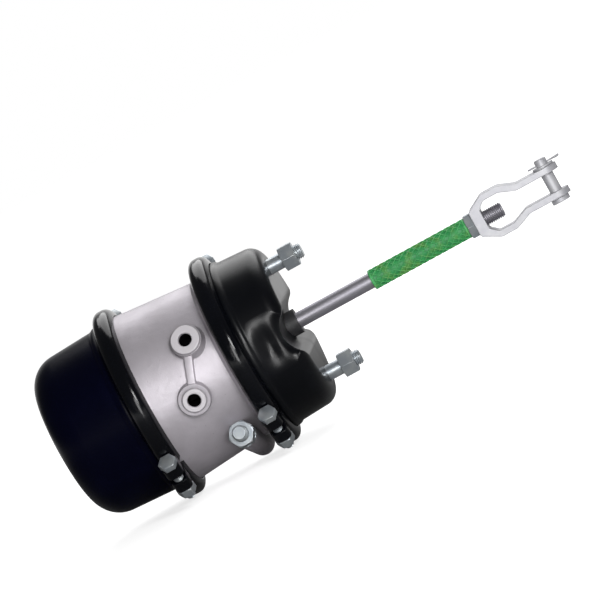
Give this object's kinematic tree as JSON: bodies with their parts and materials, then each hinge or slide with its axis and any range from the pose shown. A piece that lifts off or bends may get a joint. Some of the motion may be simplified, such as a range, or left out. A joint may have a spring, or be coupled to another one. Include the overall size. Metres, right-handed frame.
{
  "type": "spring brake chamber",
  "caption": "Double-diaphragm air brake chamber: steel spring housing, cast flange case with air ports, clamp bands, mounting studs, and a sleeved push rod with a pinned yoke.",
  "frame": {"origin": "centre of the mounting face, midway between the two studs", "axes": "+X along the push rod, the way it comes out; +Z along the line of the studs; air ports face -Y"},
  "size_m": [0.5706, 0.2181, 0.2082],
  "materials": {
    "black_paint": "gloss black",
    "band_paint": "gloss black",
    "cast_aluminium": "as cast, satin",
    "zinc_steel": "blue zinc plate",
    "bright_zinc": "bright zinc plate",
    "rod_steel": "drawn, satin",
    "green_mesh": "woven mesh",
    "black_rubber": "matt",
    "guide_plastic": "moulded",
    "spring_steel": "grey coating"
  },
  "bodies": {
    "chamber": {"spring_housing": "black_paint", "front_housing": "black_paint", "rear_clamp_upper_half": "band_paint", "rear_clamp_lower_half": "band_paint", "front_clamp_upper_half": "band_paint", "front_clamp_lower_half": "band_paint", "flange_case": "cast_aluminium", "rear_clamp_bolts": "zinc_steel", "rear_clamp_nuts": "zinc_steel", "front_clamp_bolts": "zinc_steel", "front_clamp_nuts": "zinc_steel", "mounting_studs": "zinc_steel", "mounting_nuts": "zinc_steel", "release_bolt": "zinc_steel", "release_washer": "zinc_steel", "release_nut": "zinc_steel", "stud_plates": "zinc_steel", "emergency_diaphragm": "black_rubber", "service_diaphragm": "black_rubber", "rod_seals": "black_rubber", "dust_plug": "black_rubber", "rod_guide": "guide_plastic", "rod_bush": "guide_plastic", "power_spring": "spring_steel", "service_return_spring": "spring_steel"},
    "push_rod": {"push_plate": "zinc_steel", "push_rod": "rod_steel", "rod_sleeve": "green_mesh", "lock_nut": "zinc_steel", "clevis": "bright_zinc"},
    "spring_piston": {"pressure_plate": "cast_aluminium", "adapter_rod": "cast_aluminium", "adapter_plate": "zinc_steel", "adapter_screw": "zinc_steel"},
    "clevis_pin": {"clevis_pin": "bright_zinc", "pin_washer": "bright_zinc", "cotter_pin": "bright_zinc"}
  },
  "joints": [
    {"name": "push_rod_stroke", "type": "slide", "parent": "chamber", "child": "push_rod", "axis": [1, 0, 0], "range_m": [-0.0635, 0], "stiffness_N_per_m": 400, "springref_m": 0.05, "deforming": ["service_return_spring", "service_diaphragm"]},
    {"name": "spring_piston_stroke", "type": "slide", "parent": "chamber", "child": "spring_piston", "axis": [1, 0, 0], "range_m": [-0.0635, 0], "deforming": ["power_spring", "emergency_diaphragm"]},
    {"name": "clevis_pin_turn", "type": "hinge", "parent": "push_rod", "child": "clevis_pin", "pos_m": [0.286, 0, 0], "axis": [0, 0, 1], "continuous": true}
  ],
  "couplings": [
    {"joint": "spring_piston_stroke", "follows": "push_rod_stroke", "ratio": 1}
  ]
}
